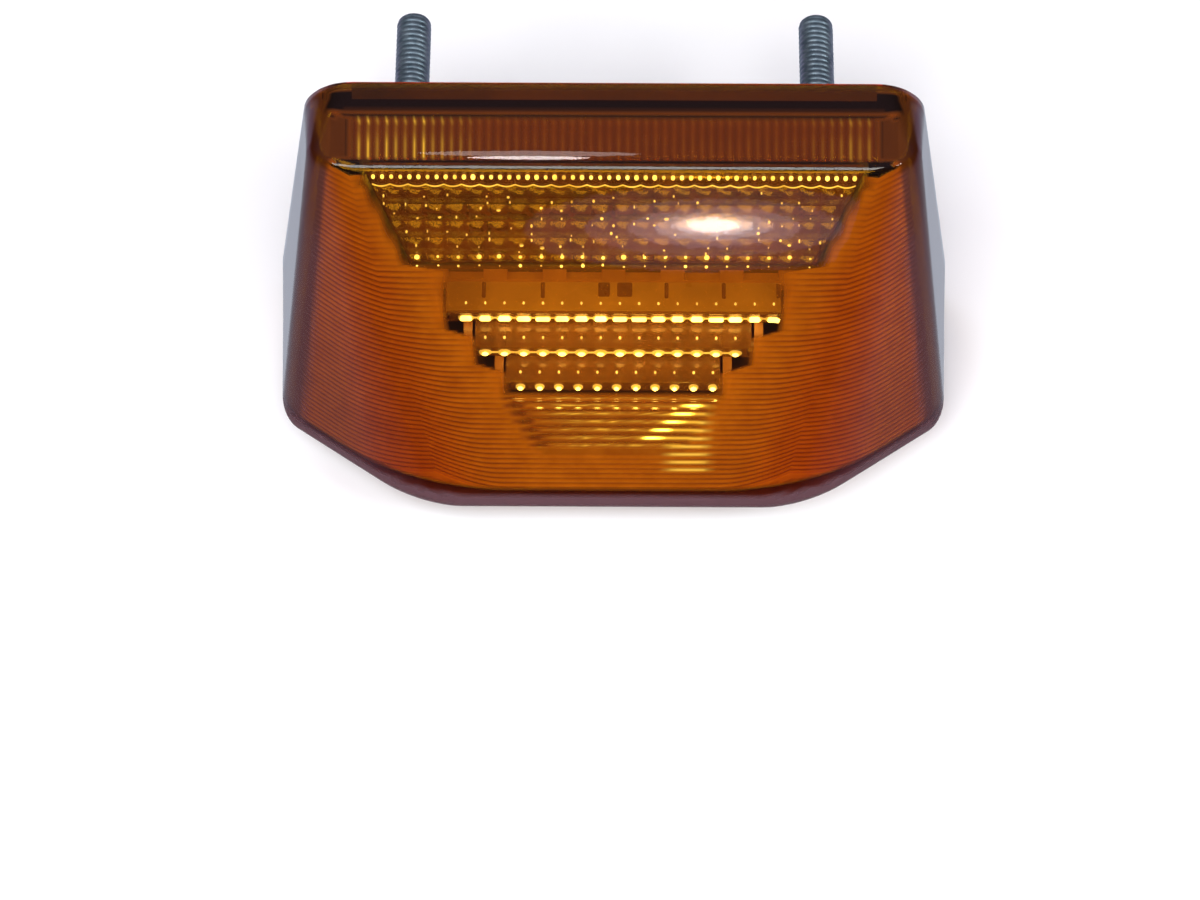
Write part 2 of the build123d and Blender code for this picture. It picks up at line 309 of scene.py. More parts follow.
def u_rows(shares):
    """The sharp outline cut by a fan of planes, from the wide wall at 0 to the narrow wall at 1.

    Each row runs from the left rim along the side, wing and front to the other wing and side."""
    low = -HALF_HEIGHT + 2 * HALF_HEIGHT * shares
    slope = WIDE_DRAFT - (WIDE_DRAFT + NARROW_DRAFT) * shares

    def corner(first, second):
        """Where two facets meet in each row's plane."""
        (a, p), (b, q) = first, second
        a_depth, b_depth = a[1] + a[2] * slope, b[1] + b[2] * slope
        a_offset, b_offset = p - a[2] * low, q - b[2] * low
        size = a[0] * b_depth - b[0] * a_depth
        x = (a_offset * b_depth - b_offset * a_depth) / size
        depth = (a[0] * b_offset - b[0] * a_offset) / size
        return np.stack([x, depth], axis=-1)

    shoulder = corner(SIDE, WING)
    front = corner(FRONT, WING)
    rim_depth = np.full_like(shares, RIM_DEPTH)
    rim = np.stack([side_x(rim_depth, low + slope * rim_depth), rim_depth], axis=-1)
    flip = np.array([-1.0, 1.0])
    stops = [rim * flip, shoulder * flip, front * flip, front, shoulder, rim]
    side_share, wing_share = towards_edge(SIDE_STEPS), np.linspace(0, 1, WING_STEPS + 1)
    front_share = np.linspace(0, 1, FRONT_STEPS + 1)
    spread = [side_share, wing_share, front_share, wing_share, 1.0 - side_share[::-1]]
    parts = [stops[0][:, None, :]]
    for start, end, share in zip(stops[:-1], stops[1:], spread):
        parts.append(mix(start[:, None, :], end[:, None, :], share[None, 1:, None]))
    flat = np.concatenate(parts, axis=1)
    z = low[:, None] + slope[:, None] * flat[..., 1]
    return np.concatenate([flat, z[..., None]], axis=-1)


def end_wall(row, fineness):
    """The narrow or the wide wall, from the rim to the front, filling in the last row."""
    middle = row[SIDE_STEPS:-SIDE_STEPS]
    coarse = np.arange(len(middle))
    fine = np.linspace(0, len(middle) - 1, (len(middle) - 1) * fineness + 1)
    top = np.stack([np.interp(fine, coarse, middle[:, k]) for k in range(3)], axis=-1)
    rim = top * (row[0, 0] / middle[0, 0])
    rim[:, 1] = RIM_DEPTH
    rim[:, 2] = row[0, 2]
    return mix(rim[None], top[None], towards_edge(SIDE_STEPS)[:, None, None])


def edge_of(wall):
    """The numbers of a wall's points along the side columns and the front, as one row in three parts."""
    return wall[:, 0], wall[-1, :], wall[::-1, -1]


def level_strength(points):
    """How strong the level flutes are: full on the wings, fading towards the clear middle."""
    x, depth, z = np.abs(points[..., 0]), points[..., 1], points[..., 2]
    from_side = side_x(depth, z) - x
    strength = smooth_step(-1.0, 10.0, x - window_half(depth))
    strength = strength * smooth_step(WALL + 0.6, WALL + 1.6, from_side)
    low_down = 0.45 * smooth_step(44.6, 46.4, depth)
    return np.maximum(strength, low_down) * smooth_step(0.0, 5.0, CREASE_Z - z)


def level_relief(points, rows):
    """Level flutes and the prisms under the light guide, in millimetres, with painted shade in their
    grooves and painted highlights.

    The painted highlights are a slanting run of glints at fixed places and a faint sparkle on the prisms."""
    x, depth = points[..., 0], points[..., 1]
    strength = level_strength(points)
    ribs = np.abs(np.sin(math.pi * rows / ROWS_PER_FLUTE))
    half = window_half(depth)
    in_depth = smooth_step(0, 0.2, depth - PRISM_DEPTHS[0]) * smooth_step(0, 0.2, PRISM_DEPTHS[1] - depth)
    inside = smooth_step(0.0, 0.4, half - np.abs(x)) * in_depth
    number = (rows - PRISM_FIRST_ROW) / PRISM_ROWS
    ridge = np.abs(np.cos(math.pi * number))
    patchy = np.random.default_rng(11).random(points.shape[:2]) ** 2
    # Painted shade: dark in the flute valleys, between the prism ridges and in teeth along the prisms' left
    # end
    teeth = smooth_step(2.4, 0.8, x + half) * smooth_step(-2.4, -0.8, x + half) * in_depth * ridge
    between = (1.0 - ribs) ** 1.1 * np.sqrt(strength)
    groove = np.maximum(between, np.maximum(0.7 * (1 - ridge) * inside, teeth))
    # Painted highlights: a faint sparkle on the prism ridges, fading out to the left, and the glints below
    painted_highlight = ridge ** 4 * inside * (0.10 + 0.5 * patchy) * smooth_step(-half, -0.4 * half, x)
    for step in range(GLINT_COUNT):
        here = smooth_step(0.36, 0.06, np.abs(number + step))
        middle = GLINT_FIRST_X - GLINT_SHIFT * step
        core = np.exp(-((x - middle) / GLINT_HALF) ** 4) if step < GLINTS_WITH_CORE else 0.0
        tail = 0.5 * smooth_step(17.2, 15.0, x) * smooth_step(middle - 1.8, middle + 0.2, x)
        if step >= GLINTS_WITH_CORE:
            tail = tail * smooth_step(7.5, 10.5, x)
        painted_highlight = np.maximum(painted_highlight, here * np.maximum(core, tail))
    return FLUTE_DEPTH * ribs * strength + PRISM_HEIGHT * ridge * inside, groove, painted_highlight


def glow_of(points):
    """How far the inside scatters light: 0 where it is clear and on the side walls, 1 on the wings."""
    x, depth, z = np.abs(points[..., 0]), points[..., 1], points[..., 2]
    beyond = smooth_step(-0.6, 0.9, x - window_half(depth))
    band = 0.3 * smooth_step(24.9, 25.4, depth) * smooth_step(30.6, 29.2, depth)
    prisms = 0.7 * smooth_step(PRISM_DEPTHS[0] - 0.6, PRISM_DEPTHS[0], depth)
    low_down = smooth_step(PRISM_DEPTHS[1], PRISM_DEPTHS[1] + 1.0, depth)
    from_side = smooth_step(WALL + 0.5, WALL + 1.3, side_x(depth, z) - x)
    from_wide = smooth_step(WALL + 0.5, WALL + 1.5, z - wide_z(depth))
    return np.maximum.reduce([beyond, band, prisms, low_down]) * from_side * from_wide


def shade_of(points):
    """Painted shade inside: 1 on the side and wide walls, nearly 2 by the narrow rim, a little low down
    with a painted mauve reflection tint.
    """
    x, depth, z = np.abs(points[..., 0]), points[..., 1], points[..., 2]
    from_side = side_x(depth, z) - x
    by_side = smooth_step(WALL + 2.2, WALL + 1.4, from_side)
    by_wide = smooth_step(WALL + 1.5, WALL + 0.5, z - wide_z(depth))
    # Painted reflection tint: a little wine low down towards the outer corners
    low_corner = 0.28 * smooth_step(5.0, -18.0, z) * smooth_step(26.0, 8.0, from_side)
    top = smooth_step(WALL + 1.5, WALL + 0.5, narrow_z(depth) - z)
    # Painted shade: near black in a band behind the narrow rim
    by_rim = 1.9 * top * smooth_step(0.4, 1.4, depth) * smooth_step(5.6, 4.6, depth)
    return np.maximum.reduce([by_side, by_wide, low_corner, by_rim])


def painted_edge_veil(points):
    """Painted reflection: a faint wine-coloured veil on the outer skin along the edges beside the side
    walls and the wide wall.
    """
    x, depth, z = np.abs(points[..., 0]), points[..., 1], points[..., 2]
    from_side, from_wide = side_x(depth, z) - x, z - wide_z(depth)
    by_side = 0.22 * smooth_step(4.6, 3.6, from_side) * smooth_step(-0.1, 0.3, from_side)
    by_wide = smooth_step(4.4, 3.8, from_wide) * mix(0.80, 0.72, smooth_step(3.0, 1.0, from_wide))
    return np.maximum(by_side * smooth_step(20.0, 12.0, z), by_wide) * smooth_step(1.5, 4.0, depth)


def upright_relief(wall):
    """Upright flutes on the inside of the narrow wall, in millimetres.

    Gives their relief, glow, painted shade in the valleys, painted shade by the ends and painted
    highlights."""
    x, depth = wall[..., 0], wall[..., 1]
    column = np.arange(wall.shape[1])[None, :]
    ribs = np.abs(np.sin(math.pi * column / UPRIGHT_POINTS))
    within = smooth_step(0.0, 0.5, CREASE_HALF - 2.5 - np.abs(x))
    beside = smooth_step(CREASE_HALF + 1.6, CREASE_HALF + 0.6, np.abs(x))
    along = smooth_step(0.0, 0.4, depth - FLUTES_START)
    along = along * smooth_step(-0.2, 0.4, CREASE_DEPTH - WALL - depth)
    fluted = within * along
    edges = beside * (1 - within) * along
    # Painted highlights: bright streaks down the flutes, strongest towards the wall's ends
    ends = 0.06 + smooth_step(-20.0, -33.0, x) + 0.55 * smooth_step(28.0, 42.0, x)
    streak = 0.25 + 0.6 * smooth_step(8.5, 11.5, depth) + 0.7 * smooth_step(1.4, 0.5, depth - FLUTES_START)
    uneven = np.random.default_rng(3).uniform(0.45, 1.1, wall.shape[1] // UPRIGHT_POINTS + 2)
    uneven = uneven[(column + UPRIGHT_POINTS // 2) // UPRIGHT_POINTS]
    painted_highlight = np.minimum(ends * streak * uneven, 1.0) * ribs ** 7 * fluted
    line = smooth_step(0.8, 0.3, np.abs(depth - FLUTES_START + 1.1)) * smooth_step(49.0, 47.5, np.abs(x))
    glow = np.maximum.reduce([0.5 * fluted, 0.75 * line, 0.7 * edges])
    # Painted shade: dark in the flute valleys, on a line just before the flutes and on the bands by the
    # wall's ends
    groove = np.maximum.reduce([(1 - 0.5 * ribs) * fluted, 0.6 * line, (1 - 0.4 * ribs ** 3) * edges])
    # Painted shade on the bands by the wall's ends
    shade = 1.5 * edges * (1 - 0.6 * ribs ** 3)
    return fluted * (0.2 + UPRIGHT_DEPTH * ribs), glow, groove, shade, 0.6 * painted_highlight


def skin(shell, inset, per_row, fineness):
    """Adds one skin of the lens to the shell. Gives its rim and its points' marks."""
    count = LEVEL_FLUTES * per_row
    shares = np.arange(count + 1) / count
    shares[-2] = max(shares[-2], 1.0 - LAST_ROW)
    sharp = u_rows(shares)
    body = onto_skin(sharp[1:-1], inset)
    wide = onto_skin(end_wall(sharp[0], 1), inset)
    narrow = onto_skin(end_wall(sharp[-1], fineness), inset)
    grids = [body, wide, narrow]
    marks = np.zeros((len(MARKS), sum(grid[..., 0].size for grid in grids)))
    if inset > 0:
        flutes, groove_shade, painted_level_highlight = level_relief(body, np.arange(1, count)[:, None])
        uprights, upright_glow, upright_groove_shade, upright_shade, painted_highlight = upright_relief(narrow)
        nothing = np.zeros(wide.shape[:2])
        narrow_shade = np.maximum(shade_of(narrow), upright_shade)
        marked = ((glow_of(body), glow_of(wide), upright_glow),
                  (groove_shade, nothing, upright_groove_shade),
                  (shade_of(body), shade_of(wide), narrow_shade),
                  (painted_level_highlight, nothing, painted_highlight))
        for index, values in enumerate(marked):
            marks[index] = np.concatenate([grid.ravel() for grid in values])
        body -= skin_normal(body, inset) * flutes[..., None]
        narrow -= skin_normal(narrow, inset) * uprights[..., None]
    else:
        # The outer skin's only mark is the painted reflection veil along its edges
        marks[MARKS.index("shade")] = np.concatenate([painted_edge_veil(grid).ravel() for grid in grids])
    for wall in (wide, narrow):
        wall[0, :, 1] = RIM_DEPTH
    body[:, 0, 1] = RIM_DEPTH
    body[:, -1, 1] = RIM_DEPTH
    body_numbers, wide_numbers, narrow_numbers = [shell.add(grid) for grid in grids]
    for numbers in (body_numbers, wide_numbers, narrow_numbers):
        shell.rows(numbers)
    parts = (slice(0, SIDE_STEPS + 1), slice(SIDE_STEPS, -SIDE_STEPS), slice(-SIDE_STEPS - 1, None))
    for part, low, high in zip(parts, edge_of(wide_numbers), edge_of(narrow_numbers)):
        shell.strip(body_numbers[0][part], low)
        shell.strip(body_numbers[-1][part], high)
    rim = [np.concatenate([[wide_numbers[0, end]], body_numbers[:, end], [narrow_numbers[0, end]]])
           for end in (0, -1)]
    return rim + [wide_numbers[0], narrow_numbers[0]], marks


def make_lens():
    """One closed moulded shell with a smooth outside and an optic relief inside."""
    shell = Shell()
    outer_rim, outer_marks = skin(shell, 0.0, 1, 1)
    inner_rim, inner_marks = skin(shell, WALL, ROWS_PER_FLUTE, UPRIGHT_POINTS)
    for coarse, fine in zip(outer_rim, inner_rim):
        shell.strip(coarse, fine)
    lens = shell.build("lens_shell")
    for name, values in zip(MARKS, np.concatenate([outer_marks, inner_marks], axis=1)):
        attribute = lens.data.attributes.new(name, "FLOAT", "POINT")
        attribute.data.foreach_set("value", values)
    face_outwards(lens)
    return lens


def face_outwards(thing):
    """Turns every face of a closed mesh outwards."""
    work = bmesh.new()
    work.from_mesh(thing.data)
    bmesh.ops.recalc_face_normals(work, faces=work.faces)
    work.to_mesh(thing.data)
    work.free()


# ---------------------------------------------------------------- materials

class Nodes:
    """A material's nodes, made and joined in short lines."""

    def __init__(self, name):
        self.material = bpy.data.materials.new(name)
        self.material.use_nodes = True
        self.tree = self.material.node_tree
        self.tree.nodes.clear()
        self.output = self.add("ShaderNodeOutputMaterial")

    def add(self, kind, **values):
        """Adds a node with its settings."""
        node = self.tree.nodes.new(kind)
        for key, value in values.items():
            setattr(node, key, value)
        return node

    def put(self, socket, value):
        """Sets a socket to a value, or joins it to another socket."""
        if isinstance(value, bpy.types.NodeSocket):
            self.tree.links.new(value, socket)
        else:
            socket.default_value = value

    def shader(self, kind, **values):
        """A shader with its sockets set by name; an underscore stands for a space."""
        node = self.add(kind)
        for key, value in values.items():
            self.put(node.inputs[key.replace("_", " ")], value)
        return node.outputs[0]

    def noise(self, scale, detail=3.0, stretch=None):
        """Noise over the object's own space; stretch squeezes it along the axes."""
        place = self.add("ShaderNodeTexCoord").outputs["Object"]
        if stretch:
            mapping = self.add("ShaderNodeMapping")
            mapping.inputs["Scale"].default_value = stretch
            self.tree.links.new(place, mapping.inputs["Vector"])
            place = mapping.outputs["Vector"]
        node = self.add("ShaderNodeTexNoise")
        self.tree.links.new(place, node.inputs["Vector"])
        node.inputs["Scale"].default_value = scale
        node.inputs["Detail"].default_value = detail
        return node.outputs["Fac"]

    def ramp(self, factor, low, high, start=0.3, end=0.7):
        """Colours from low to high as factor goes from start to end."""
        node = self.add("ShaderNodeValToRGB")
        self.tree.links.new(factor, node.inputs["Fac"])
        first, last = node.color_ramp.elements
        first.position, last.position = start, end
        first.color, last.color = (*low, 1), (*high, 1)
        return node.outputs["Color"]

    def spread(self, factor, low, high):
        """Numbers from low to high as factor goes from 0.3 to 0.7."""
        node = self.add("ShaderNodeMapRange")
        self.tree.links.new(factor, node.inputs["Value"])
        for key, value in zip(("From Min", "From Max", "To Min", "To Max"), (0.3, 0.7, low, high)):
            node.inputs[key].default_value = value
        return node.outputs["Result"]

    def bump(self, height, strength, distance):
        node = self.add("ShaderNodeBump")
        self.tree.links.new(height, node.inputs["Height"])
        node.inputs["Strength"].default_value = strength
        node.inputs["Distance"].default_value = distance
        return node.outputs["Normal"]

    def mark(self, name, share):
        """A number kept on the mesh's points, times share."""
        scale = self.add("ShaderNodeMath", operation="MULTIPLY")
        self.put(scale.inputs[0], self.add("ShaderNodeAttribute", attribute_name=name).outputs["Fac"])
        scale.inputs[1].default_value = share
        return scale.outputs[0]

    def blend(self, factor, first, second):
        node = self.add("ShaderNodeMixShader")
        self.put(node.inputs[0], factor)
        self.tree.links.new(first, node.inputs[1])
        self.tree.links.new(second, node.inputs[2])
        return node.outputs[0]

    def finish(self, surface, volume=None):
        self.tree.links.new(surface, self.output.inputs["Surface"])
        if volume is not None:
            self.tree.links.new(volume, self.output.inputs["Volume"])
        return self.material


PLASTIC_IOR = 1.49
AMBER_COLOUR = (0.965, 0.80, 0.0, 1.0)
AMBER_DENSITY = 950.0


def amber_volume(nodes):
    return nodes.shader("ShaderNodeVolumeAbsorption", Color=AMBER_COLOUR, Density=AMBER_DENSITY)


def clear_glass(nodes, colour, roughness, normal=None):
    """Glass for the eye and a plain opening for the light, so that lamps reach what is behind it."""
    glass = nodes.add("ShaderNodeBsdfGlass")
    glass.inputs["Color"].default_value = (*colour, 1)
    nodes.put(glass.inputs["Roughness"], roughness)
    glass.inputs["IOR"].default_value = PLASTIC_IOR
    if normal is not None:
        nodes.put(glass.inputs["Normal"], normal)
    opening = nodes.shader("ShaderNodeBsdfTransparent", Color=(*colour, 1))
    path = nodes.add("ShaderNodeLightPath").outputs["Is Shadow Ray"]
    return nodes.blend(path, glass.outputs[0], opening)


def amber_plastic():
    """Clear amber: matt orange where the inside is fluted, with painted shade in the grooves and by the
    side walls.

    The highlight mark is a painted highlight: a steady glow in place of the sparkle of a strong light."""
    nodes = Nodes("amber_plastic")
    scuffs = nodes.noise(900, 4, stretch=(1.0, 0.12, 1.0))
    glass = clear_glass(nodes, (1, 1, 1), 0.0, nodes.bump(scuffs, 0.005, 0.0002))
    tint = nodes.ramp(nodes.noise(260), (0.54, 0.25, 0.035), (0.67, 0.335, 0.06))
    matt = nodes.shader("ShaderNodeBsdfDiffuse", Color=tint)
    through = nodes.shader("ShaderNodeBsdfTranslucent", Color=tint)
    # Painted shade for the grooves
    groove = nodes.shader("ShaderNodeBsdfDiffuse", Color=(0.16, 0.06, 0.10, 1))
    # Painted shade: wine where the shade mark is 1, going to near black by 1.8
    depth = nodes.mark("shade", 0.5)
    dark = (0.012, 0.008, 0.012)
    wine_matt = nodes.ramp(depth, (0.16, 0.09, 0.11), dark, 0.5, 0.9)
    wine_through = nodes.ramp(depth, (0.20, 0.08, 0.10), dark, 0.5, 0.9)
    wine = nodes.blend(0.4, nodes.shader("ShaderNodeBsdfDiffuse", Color=wine_matt),
                       nodes.shader("ShaderNodeBsdfTranslucent", Color=wine_through))
    # Painted highlight: a glow that grows steeply with the highlight mark
    steep = nodes.add("ShaderNodeMath", operation="POWER")
    nodes.put(steep.inputs[0], nodes.mark("painted_highlight", 1.0))
    steep.inputs[1].default_value = 4.0
    strength = nodes.add("ShaderNodeMath", operation="MULTIPLY_ADD")
    nodes.put(strength.inputs[0], steep.outputs[0])
    strength.inputs[1].default_value = 16.0
    strength.inputs[2].default_value = 1.0
    bright = nodes.shader("ShaderNodeEmission", Color=(1.0, 0.88, 0.62, 1), Strength=strength.outputs[0])
    # The groove mark mixes in the painted shade
    lit = nodes.blend(nodes.mark("groove", 0.85), nodes.blend(0.3, matt, through), groove)
    fluted = nodes.blend(nodes.mark("glow", 0.88), glass, lit)
    # The shade mark mixes in the wine: painted shade inside, a painted reflection veil on the outer skin
    shaded = nodes.blend(nodes.mark("shade", 0.95), fluted, wine)
    return nodes.finish(nodes.blend(nodes.mark("painted_highlight", 1.0), shaded, bright), amber_volume(nodes))


def plastic(name, low, high, roughness=(0.25, 0.35), grain=900, bump=0.05, spread=140):
    """Moulded plastic with a faint grain and uneven polish."""
    nodes = Nodes(name)
    mottle = nodes.noise(spread, 4)
    fine = nodes.noise(grain, 3)
    return nodes.finish(nodes.shader(
        "ShaderNodeBsdfPrincipled", Base_Color=nodes.ramp(mottle, low, high),
        Roughness=nodes.spread(mottle, *roughness), Normal=nodes.bump(fine, bump, 0.0002)))


def zinc():
    nodes = Nodes("zinc_plating")
    mottle = nodes.noise(700, 5)
    patches = nodes.noise(160, 3)
    colour = nodes.ramp(mottle, (0.13, 0.19, 0.23), (0.27, 0.35, 0.40))
    return nodes.finish(nodes.shader(
        "ShaderNodeBsdfPrincipled", Base_Color=colour, Metallic=0.85,
        Roughness=nodes.spread(patches, 0.32, 0.5), Normal=nodes.bump(mottle, 0.15, 0.0001)))


def metal(name, low, high, roughness):
    nodes = Nodes(name)
    mottle = nodes.noise(500, 4)
    return nodes.finish(nodes.shader(
        "ShaderNodeBsdfPrincipled", Base_Color=nodes.ramp(mottle, low, high), Metallic=1.0,
        Roughness=nodes.spread(mottle, *roughness), Normal=nodes.bump(mottle, 0.05, 0.0001)))


def woven_patch():
    """Dark membrane with slanting streaks."""
    nodes = Nodes("vent_fabric")
    place = nodes.add("ShaderNodeTexCoord").outputs["Object"]
    mapping = nodes.add("ShaderNodeMapping", vector_type="TEXTURE")
    mapping.inputs["Rotation"].default_value = (0, math.radians(35), 0)
    mapping.inputs["Scale"].default_value = (12, 1, 1)
    nodes.tree.links.new(place, mapping.inputs["Vector"])
    streaks = nodes.add("ShaderNodeTexNoise")
    nodes.tree.links.new(mapping.outputs["Vector"], streaks.inputs["Vector"])
    streaks.inputs["Scale"].default_value = 1400
    colour = nodes.ramp(streaks.outputs["Fac"], (0.035, 0.038, 0.045), (0.085, 0.09, 0.105))
    return nodes.finish(nodes.shader(
        "ShaderNodeBsdfPrincipled", Base_Color=colour, Roughness=0.6,
        Normal=nodes.bump(streaks.outputs["Fac"], 0.3, 0.0001)))


def clear_optic(name, low, high, haze):
    """Clear acrylic that scatters a little."""
    nodes = Nodes(name)
    glass = clear_glass(nodes, (0.98, 0.97, 0.95), 0.02)
    matt = nodes.shader("ShaderNodeBsdfPrincipled", Roughness=0.15,
                        Base_Color=nodes.ramp(nodes.noise(300), low, high))
    return nodes.finish(nodes.blend(haze, glass, matt))


def cover(node_name, material):
    """Gives a CAD node its finish."""
    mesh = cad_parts[node_name].data
    mesh.materials.clear()
    mesh.materials.append(material)


def bright_tip(name, low, high):
    """Polished tip with a steady glow: a painted highlight in place of the sparkle of a strong light."""
    nodes = Nodes(name)
    mottle = nodes.noise(260, 2)
    colour = nodes.ramp(mottle, (0.85, 0.80, 0.6), (0.95, 0.92, 0.75))
    return nodes.finish(nodes.shader(
        "ShaderNodeBsdfPrincipled", Base_Color=colour, Roughness=0.12,
        Emission_Color=(1.0, 0.86, 0.80, 1), Emission_Strength=nodes.spread(mottle, low, high)))


# ---------------------------------------------------------------- optics

TIP_PITCH = 3.26

# Material slots of the light guide; the tip, dot and halo slots take glowing finishes, painted highlights
ACRYLIC, TIP, DOT, SHADOW, SHELF, HALO = range(6)


def make_light_guide():
    """Three stepped bars with tips along each front, dots on their treads and dark marks on top."""
    low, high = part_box("light_guide")
    half_widths = (28.6, 23.5, 18.2)
    fronts = (22.0, 27.0, 32.0)
    tip_counts, tip_shifts = (17, 14, 11), (1.1, -0.5, 0.6)
    step_height = (high.z - low.z) / MM / 3
    back = -high.y / MM
    top = high.z / MM
    guide = Shell()
    chance = np.random.default_rng(5)
    for step, (half, front) in enumerate(zip(half_widths, fronts)):
        step_top = top - step * step_height
        face = front - 0.75
        middle = step_top - 0.5 * step_height
        guide.lump((-half, back, step_top - step_height + 0.02),
                   (half, face, step_top - 0.02), 0.3, ACRYLIC)
        tips = (np.arange(tip_counts[step]) - (tip_counts[step] - 1) / 2) * TIP_PITCH + tip_shifts[step]
        for x in tips:
            size = 1.0 + 0.09 * chance.normal()
            if step == 0:
                guide.lump((x - 1.35, face - 0.3, middle - 0.52 * size),
                           (x + 1.35, front - 0.3, middle + 0.52 * size), (0.5, 0.3, 0.4), HALO)
                guide.lump((x - 1.1 * size, face - 0.1, middle - 0.35),
                           (x + 1.1 * size, front - 0.05, middle + 0.55), (0.4, 0.3, 0.28), TIP)
            else:
                wide = 1.15 if step == 1 else 0.85
                guide.bead((x, face + 0.2, middle + 0.2), (wide, 0.5, 0.75 * size), HALO)
                guide.bead((x, face + 0.35, middle + 0.25), (0.65 * wide * size, 0.55, 0.55 * size), TIP)
            guide.bead((x, front - 2.7, step_top), (0.2 * size, 0.3, 0.2), DOT)
        if step < 2:
            guide.lump((tips[0], face - 0.1, middle - 0.12),
                       (tips[-1], face + 0.2, middle + 0.12), 0.08, HALO)
        for side in (-1, 1):
            inner, outer = side * (half - 1.0), side * (half + 1.9)
            guide.lump((min(inner, outer), face - 1.6, middle - 0.7),
                       (max(inner, outer), face + 0.5, step_top - 0.1), (0.9, 0.9, 0.55), SHADOW)
    divider_top = top + 0.05
    shelf = half_widths[0] - 0.2
    guide.lump((-shelf, back, top - 0.2), (shelf, fronts[0] - 1.2, top), 0.05, SHELF)
    for x in (-22.0, -12.0, 9.0, 18.7, 28.0):
        guide.lump((x - 0.35, back + 0.1, top - 0.3), (x + 0.35, back + 3.3, divider_top),
                   (0.2, 0.3, 0.05), SHADOW)
    for left, right in ((-2.6, -0.6), (0.6, 3.2)):
        guide.lump((left, back + 0.1, top - 0.3), (right, back + 3.0, divider_top),
                   (0.3, 0.4, 0.05), SHADOW)
    thing = guide.build("light_guide_tips", smooth=False)
    face_outwards(thing)
    return thing


PILLOW_PITCH = 3.4
PILLOW_ROW_PITCH = 2.95
PANEL_Z = (25.9, 15.3)
PANEL_HALVES = (39.6, 33.6)
PANEL_MARGINS = (2.3, 0.5)
FRONT_RISE = 0.8153  # height gained for each millimetre along the front facet


def front_point(x, z, inset):
    """Point under the front facet, for a place on the facet given by x and z."""
    depth = CREASE_DEPTH + (NOSE_DEPTH - CREASE_DEPTH) * (CREASE_Z - z) / (CREASE_Z - NOSE_Z)
    normal, _ = FRONT
    return np.stack([x - 0 * z, depth - inset * normal[1] + 0 * x, z - inset * normal[2] + 0 * x], axis=-1)


def panel_half(z):
    """Half width of the pillow optic's trapezoid at a height."""
    return mix(*PANEL_HALVES, (PANEL_Z[0] - z) / (PANEL_Z[0] - PANEL_Z[1]))


def make_pillow_optic():
    """Clear cover behind the upper front: a trapezoid of small pillows."""
    inset = WALL + 0.75
    across, down = 210, 52
    share_x = np.linspace(-1, 1, across + 1)[None, :]
    share_z = np.linspace(0, 1, down + 1)[:, None]
    z = mix(PANEL_Z[0] + PANEL_MARGINS[0], PANEL_Z[1] - PANEL_MARGINS[1], share_z) + 0 * share_x
    half = panel_half(z)
    x = share_x * half
    fall = (PANEL_Z[0] - z) / FRONT_RISE
    pillows = np.abs(np.sin(math.pi * x / PILLOW_PITCH)) * np.abs(np.sin(math.pi * fall / PILLOW_ROW_PITCH))
    away = smooth_step(0.0, 0.4, half - np.abs(x)) * smooth_step(0.0, 0.3, fall)
    front = front_point(x, z, inset + 0.7 - 0.7 * np.sqrt(pillows) * away)
    back = front_point(x, z, inset + 1.8 + 0 * x)
    shell = Shell()
    front_numbers, back_numbers = shell.add(front), shell.add(back)
    shell.rows(front_numbers)
    shell.rows(back_numbers[:, ::-1])
    for end in (0, -1):
        shell.strip(front_numbers[end], back_numbers[end])
    for end in (0, -1):
        shell.strip(front_numbers[:, end], back_numbers[:, end])
    panel = shell.build("pillow_optic_panel")
    face_outwards(panel)
    return panel


def make_pillow_frame():
    """Dark slanted walls beside the pillows, with a dark bar below them."""
    shell = Shell()
    inset = WALL + 0.75
    for side in (-1, 1):
        share = np.linspace(0, 1, 9)
        z = mix(PANEL_Z[0] + 1.2, PANEL_Z[1] - 0.9, share)
        half = panel_half(z) + 0.15
        near, far = front_point(side * half, z, inset), front_point(side * (half + 1.1), z, inset)
        near_back, far_back = near.copy(), far.copy()
        for wall in (near_back, far_back):
            wall[:, 1] = 3.2
        numbers = [shell.add(wall) for wall in (near, far, far_back, near_back)]
        for first, second in zip(numbers, numbers[1:] + numbers[:1]):
            shell.strip(first, second)
        shell.faces += [[line[0] for line in numbers], [line[-1] for line in numbers]]
        shell.kinds += [0, 0]
    half = PANEL_HALVES[1] - 0.4
    lower = np.array([-half, half])
    rows = [front_point(lower, np.full(2, PANEL_Z[1] - drop), inset + deep)
            for drop, deep in ((0.25, 0.0), (1.0, 0.0), (1.0, 2.0), (0.25, 2.0))]
    numbers = [shell.add(row) for row in rows]
    for first, second in zip(numbers, numbers[1:] + numbers[:1]):
        shell.strip(first, second)
    shell.faces += [[line[0] for line in numbers], [line[-1] for line in numbers]]
    shell.kinds += [0, 0]
    frame_piece = shell.build("pillow_optic_frame")
    face_outwards(frame_piece)
    return frame_piece


